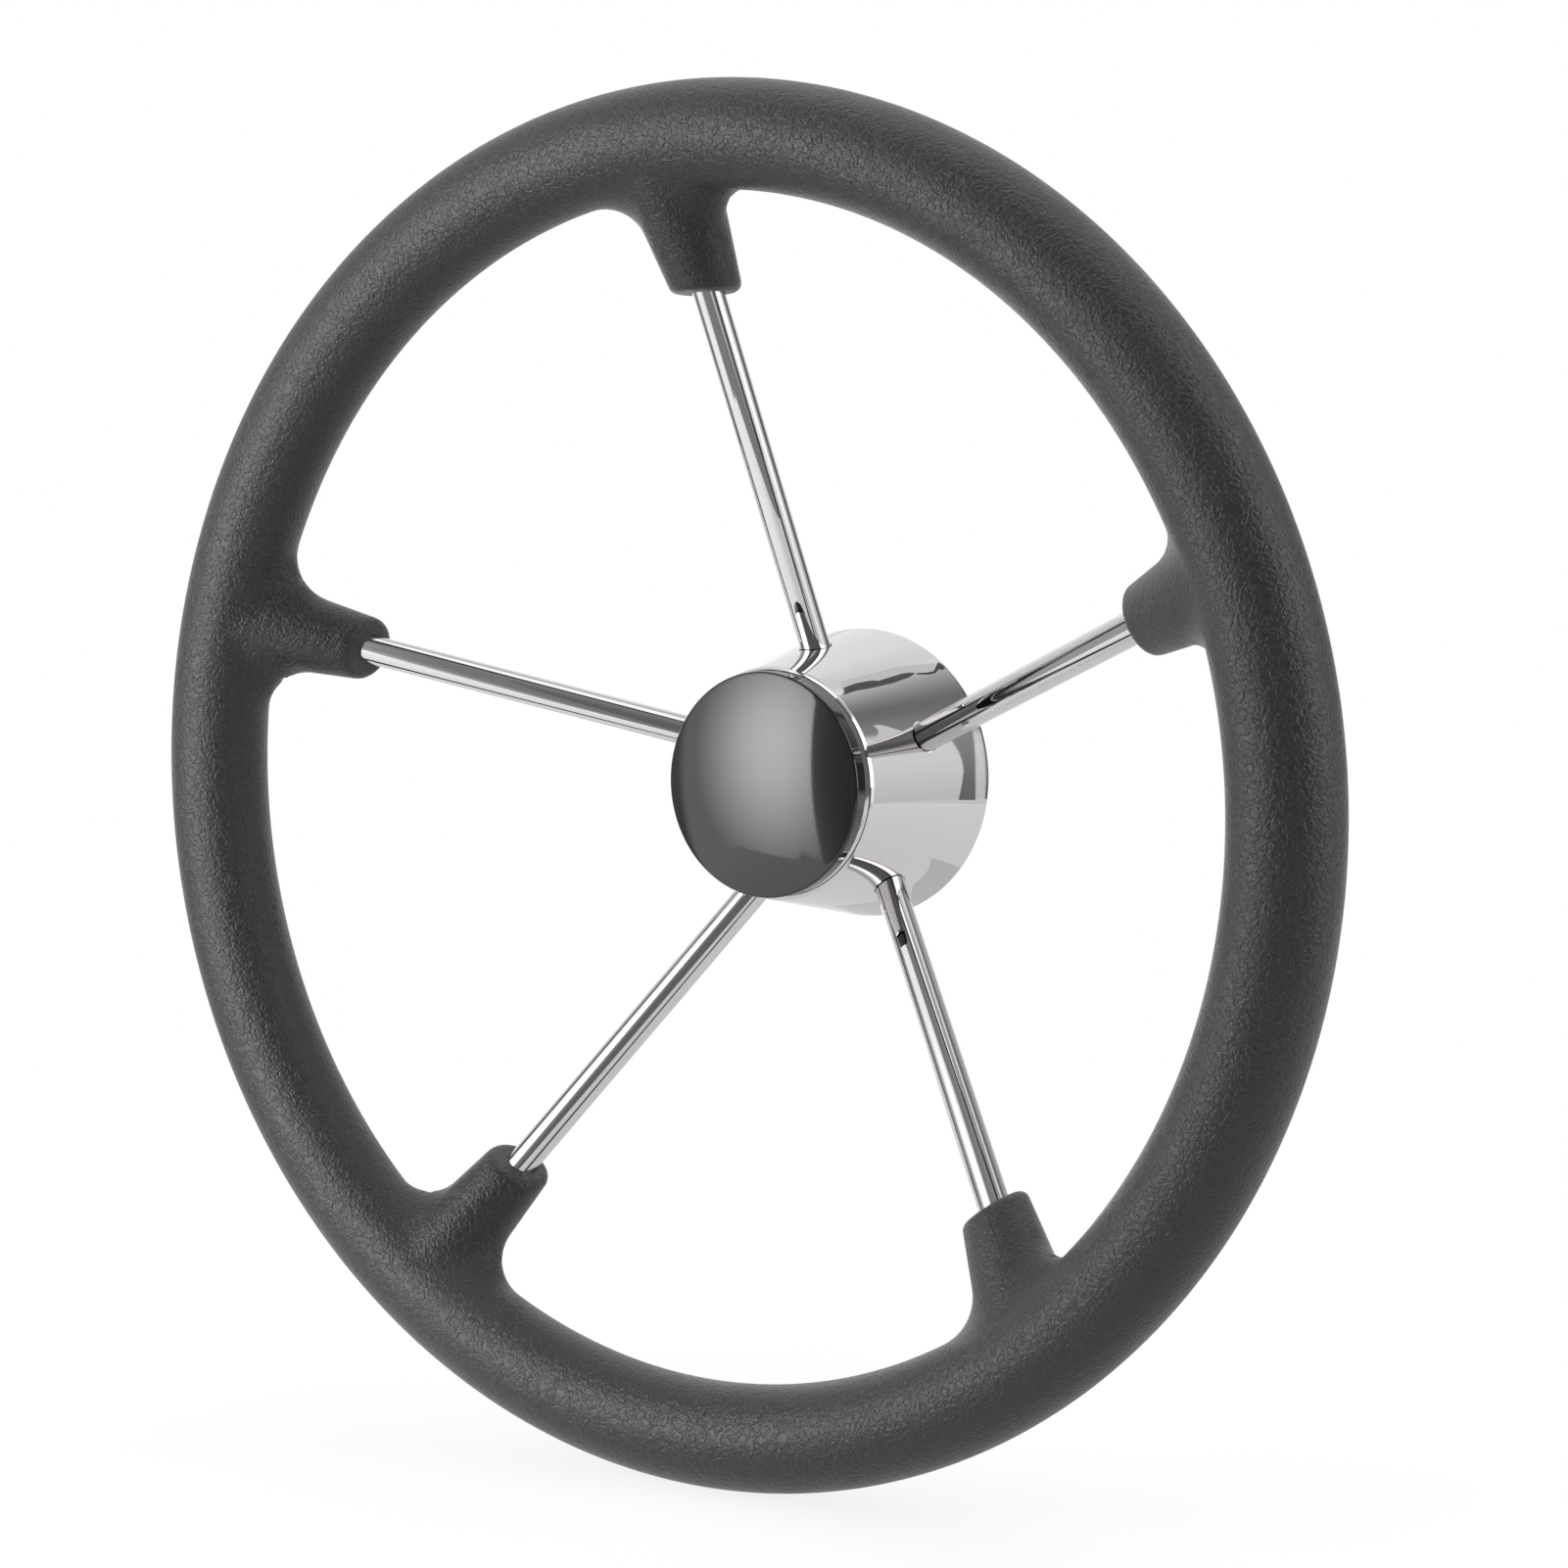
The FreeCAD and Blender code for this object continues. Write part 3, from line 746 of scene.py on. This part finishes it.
softbox("key", -35, 25, 1.5, 1.3, 1.6)
softbox("overhead", 120, 70, 1.5, 1.3, 1.2)


def within(value, low, high, soft):
    """1 between two limits, falling smoothly to 0 at them."""
    def rise(x):
        x = np.clip(x / soft + 0.5, 0, 1)
        return x * x * (3 - 2 * x)
    return rise(value - low) * rise(high - value)


def around(azimuth, middle):
    """How far an azimuth is from a middle one, the short way round."""
    return (azimuth - middle + 180) % 360 - 180


def surroundings(azimuth, elevation):
    """Brightness that the far studio shows a mirror in a direction: a white backdrop, lighter and darker parts
    of the walls, and the dim room behind the camera."""
    light = np.ones_like(azimuth)

    def over(brightness, middle, half_width, low, high, soft=5.0, rise=None):
        """Lays a patch over what is there, around a middle azimuth and between two elevations."""
        nonlocal light
        mask = within(around(azimuth, middle), -half_width, half_width, soft)
        mask = mask * within(elevation, low, high, rise or soft)
        light = light * (1 - mask) + brightness * mask

    dark_wall = np.interp(azimuth, [133, 138, 142, 148, 156, 161], [0.29, 0.21, 0.21, 0.31, 0.48, 0.60])
    room = np.interp(elevation, [-35, -10, 20, 40, 75], [0.29, 0.17, 0.17, 0.22, 0.36])
    foot = np.interp(elevation, [-17, 8], [0.70, 0.88])

    over(0.77, 180, 180, -100, -17, 1.0)
    over(1.50, -132, 12, -18, 9, 8, 12)
    over(0.80, -147, 3, -20, 16, 2)
    over(0.88, -105, 18, 8, 60, 10)
    over(0.70, -165, 25, 50, 78, 12)
    over(1.22, 104, 14, -17, 45, 5)
    over(foot, 128, 10, -17, 16, 3, 1)
    over(0.16, 150, 14, -8, 15, 5)
    over(0.24, 149, 19, 13, 40, 4)
    over(dark_wall, 147, 16, 17, 52, 1.5)
    over(0.60, 172, 6, -5, 25, 8)
    over(0.45, 92, 27, 50, 76, 8)
    over(0.45, -78, 16, -100, 62, 10)
    over(room, 36, 50, -100, 100, 5)
    over(0.28, -20, 30, 52, 100, 5)
    over(0.85, 42, 24, -27, -13, 5)
    return light


def key_glow(azimuth, elevation):
    """Brightness of the key light's cloth: a hot middle that fades, down to the cloth's uneven foot."""
    peak, middle, height, width = 6.6, -27, 9, 24
    cloth, below = 1.25, 1.15
    spread = np.where(elevation < height, 31, 27)
    glow = peak * np.exp(-(around(azimuth, middle) / width) ** 2 - ((elevation - height) / spread) ** 2)
    foot = np.interp(azimuth, [-60, -34, -24, -21, -12], [-36, -32, -25, -22.5, -27])
    lit = np.maximum(glow, cloth * within(azimuth, -64, 20, 6))
    return below + (lit - below) * np.clip((elevation - foot) / 1.5, 0, 1)


def flag_glow(azimuth, elevation):
    """Brightness of the dark flag beside the key light."""
    return np.interp(azimuth, [-12.5, -10, -5, 0], [0.75, 0.55, 0.35, 0.27])


def emission_material():
    """Shines with the brightness written at each point of a mesh."""
    nodes = Nodes("card")
    level = nodes.add("ShaderNodeAttribute", attribute_name="brightness").outputs["Fac"]
    shine = nodes.add("ShaderNodeEmission", {"Strength": level})
    nodes.tree.links.new(shine.outputs[0], nodes.tree.nodes["Material Output"].inputs["Surface"])
    nodes.material.cycles.emission_sampling = "NONE"
    return nodes.material


card_material = emission_material()


def shining(item, brightness):
    """Makes a stage card of a mesh, with a brightness for each of its points."""
    attribute = item.data.attributes.new("brightness", "FLOAT", "POINT")
    attribute.data.foreach_set("value", brightness)
    dress(item, card_material)
    item.visible_camera = False
    item.visible_diffuse = False
    item.visible_shadow = False


def card(name, azimuths, elevations, distance, brightness, step=2.0):
    """Curved card around the wheel, a part of a ball, with a brightness for each direction."""
    columns = max(2, round((azimuths[1] - azimuths[0]) / step) + 1)
    rows = max(2, round((elevations[1] - elevations[0]) / step) + 1)
    azimuth, elevation = np.meshgrid(np.linspace(*azimuths, columns), np.linspace(*elevations, rows))
    points = [towards(a, e, distance) for a, e in zip(azimuth.ravel(), elevation.ravel())]
    faces = [
        (corner, corner + 1, corner + columns + 1, corner + columns)
        for row in range(rows - 1) for corner in range(row * columns, (row + 1) * columns - 1)
    ]
    shining(mesh_object(name, points, faces), brightness(azimuth, elevation).ravel())


def flat_card(name, corners, height, brightness):
    """Level card, with a brightness for each of its corners."""
    item = mesh_object(name, [(x, y, height) for x, y in corners], [tuple(range(len(corners)))])
    shining(item, brightness)


card("studio_dome", (-180, 180), (-90, 90), 3, surroundings, 1.0)
card("key_panel", (-66, 1), (-37, 50), 0.9, key_glow, 1.0)
card("dark_flag", (-12.5, 6), (-34, 52), 0.36, flag_glow, 0.5)
card("side_panel", (80, 118), (-6, 48), 1.1, lambda azimuth, elevation: np.full_like(azimuth, 2.3))


# Cards traced in the picture: what the photograph's hub shell mirrors


def mirrored(x, y):
    """Where the camera's line of sight through a point of the picture meets the hub shell's cone, and the
    direction it is reflected in."""
    camera = bpy.context.scene.camera.matrix_world
    sight = (camera.to_3x3() @ Vector((x - PICTURE_SIZE / 2, PICTURE_SIZE / 2 - y, -FOCAL_LENGTH))).normalized()
    start = camera.translation
    tip = Vector((0, SHELL_REAR - SHELL_REAR_RADIUS / shell_slope, 0))
    offset = start - tip

    def across(one, other):
        return one.x * other.x + one.z * other.z - shell_slope ** 2 * one.y * other.y

    towards_axis = across(sight, offset)
    spread = towards_axis ** 2 - across(sight, sight) * across(offset, offset)
    place = start - sight * (towards_axis + math.sqrt(max(spread, 0))) / across(sight, sight)
    normal = Vector((place.x, -shell_slope * math.hypot(place.x, place.z), place.z)).normalized()
    return place, sight.reflect(normal)


def on_ball(place, way, radius=1.0):
    """Where a ray leaves a ball around the wheel."""
    offset = place - STUDIO_MIDDLE
    ahead = offset.dot(way)
    return place + way * (math.sqrt(ahead ** 2 - offset.length_squared + radius ** 2) - ahead)


def on_level(place, way, height):
    """Where a ray reaches a height."""
    return place + way * (height - place.z) / way.z


def stepped(edge, steps=6):
    """Points of a drawn edge, with steps between its corners."""
    at = np.linspace(0, len(edge) - 1, (len(edge) - 1) * steps + 1)
    return zip(*[np.interp(at, range(len(edge)), values) for values in zip(*edge)])


def mirrored_card(name, brightness, edge, far_edge, height=None):
    """Card that the camera sees mirrored in the hub shell between two edges drawn in the picture. It lies on a
    ball around the wheel, or at a height. Its brightness may change from the edges' start to their end."""
    points = []
    for pair in zip(stepped(edge), stepped(far_edge)):
        for x, y in pair:
            place, way = mirrored(x, y)
            points.append(on_level(place, way, height) if height else on_ball(place, way))
    faces = [(corner, corner + 1, corner + 3, corner + 2) for corner in range(0, len(points) - 2, 2)]
    ends = np.broadcast_to(brightness, 2)
    shining(mesh_object(name, points, faces), np.repeat(np.linspace(*ends, len(points) // 2), 2))


mirrored_card(
    "lamp_stand", (0.34, 0.18),
    [(966, 748), (973, 758), (979, 768), (982.5, 778), (983.7, 788), (982.5, 798), (978.5, 817)],
    [(991, 738), (994.5, 757), (995.2, 768), (995.6, 778), (995.8, 788), (995.8, 798), (995.8, 817)])
mirrored_card(
    "doorway_light", 0.78,
    [(891, 741), (898, 740), (908, 742.5), (920, 746)],
    [(888, 759), (899, 757), (909, 753), (920, 748)])
mirrored_card(
    "cornice", 0.12,
    [(860, 702.5), (873, 697.5), (888, 694.5), (897, 695), (912, 690.5), (928, 685.7), (937, 684.3)],
    [(860, 710), (873, 705.7), (888, 703), (897, 701), (912, 697.5), (928, 692), (937, 686)])
mirrored_card(
    "cornice_gap", 0.45,
    [(863, 704), (869, 701.5), (876, 699.5)],
    [(863, 704.6), (869, 703), (876, 700)])
mirrored_card(
    "cable", 0.10,
    [(936, 686), (948, 686.6), (953, 685.3), (955.5, 680), (957, 676), (962, 678)],
    [(936, 688.7), (948, 689), (955, 687.5), (959, 683), (961, 684.5), (965, 683)])
mirrored_card(
    "wall_edge", 0.74,
    [(856, 696.5), (868, 693), (880, 690.5), (900, 685), (920, 680.5), (945, 678), (953, 677)],
    [(858, 704), (868, 700), (880, 697), (900, 694), (920, 688), (945, 687), (954, 684)])
mirrored_card(
    "shell_shadow", (0.5, 0.08),
    [(967, 683.5), (974, 693.5), (979.3, 701), (984.8, 709.5)],
    [(974, 680), (981, 690), (986.5, 697.5), (992, 706)])
mirrored_card(
    "rear_shadow", 0.1,
    [(998.5, 740.5), (1002.2, 752), (1004.8, 765), (1006.5, 780), (1007.1, 790), (1006.7, 802), (1005.8, 816)],
    [(1006, 739), (1009.7, 750), (1012.2, 763), (1014, 779), (1014.6, 790), (1014.2, 802), (1013.3, 816)])
mirrored_card(
    "paper", 0.62,
    [(951, 876), (948, 888), (941, 896), (933, 903), (930, 912), (930, 927)],
    [(981, 886), (980, 892), (974, 902), (962, 914), (950, 922), (938, 929)], PAPER)
mirrored_card(
    "paper_end", 0.66,
    [(850, 925), (862, 924.3), (880, 922.4), (895, 920.5), (904, 919.5)],
    [(858, 934), (866, 935), (882, 936), (895, 936.5), (904, 936.5)], PAPER)
flat_card(
    "overhead_panel", [(-0.35, -0.24), (0.40, -0.24), (0.40, 0.20), (-0.35, 0.20)],
    1.0, [1.48] * 4)
flat_card(
    "floor_sheen", [(-0.36, -0.42), (0.04, -0.37), (0.2, -0.28), (0.42, -0.18), (0.45, 0.29), (-0.36, 0.29)],
    FLOOR, [1.4, 1.2, 0.80, 0.78, 0.90, 0.73])


# Floor and backdrop

def floor_material():
    """Pale floor that keeps the wheel's soft shadow and fades to plain white further away."""
    nodes = Nodes("pale_floor")
    path = nodes.add("ShaderNodeLightPath").outputs
    far = nodes.add("ShaderNodeVectorMath", {0: nodes.place}, operation="LENGTH").outputs["Value"]
    fade = nodes.between(far, 0, 1, 0.3, 0.7)
    shine = nodes.maths("MULTIPLY", path["Is Camera Ray"], nodes.between(fade, 0.84, 1.0))
    diffuse = nodes.add("ShaderNodeBsdfDiffuse", {"Color": grey(0.22)})
    dark = nodes.add("ShaderNodeBsdfDiffuse", {"Color": grey(0.0)})
    matt = nodes.add("ShaderNodeMixShader", {0: fade, 1: diffuse.outputs[0], 2: dark.outputs[0]})
    glow = nodes.add("ShaderNodeEmission", {"Strength": shine})
    both = nodes.add("ShaderNodeAddShader", {0: matt.outputs[0], 1: glow.outputs[0]})
    nodes.tree.links.new(both.outputs[0], nodes.tree.nodes["Material Output"].inputs["Surface"])
    return nodes.material


floor_half = 4
floor_corners = [(-floor_half, -floor_half), (floor_half, -floor_half), (floor_half, floor_half),
                 (-floor_half, floor_half)]
floor = mesh_object("floor", [(x, y, FLOOR) for x, y in floor_corners], [(0, 1, 2, 3)])
dress(floor, floor_material())
floor.visible_glossy = False

world = bpy.data.worlds.new("studio")
bpy.context.scene.world = world
world.use_nodes = True
tree = world.node_tree
path = tree.nodes.new("ShaderNodeLightPath").outputs
level = tree.nodes.new("ShaderNodeMapRange")
tree.links.new(path["Is Camera Ray"], level.inputs["Value"])
level.inputs["To Min"].default_value = 0.5
level.inputs["To Max"].default_value = 1.0
backdrop = tree.nodes["Background"]
tree.links.new(level.outputs["Result"], backdrop.inputs["Strength"])
backdrop.inputs["Color"].default_value = (1, 1, 1, 1)

bpy.context.scene.view_settings.view_transform = "Standard"
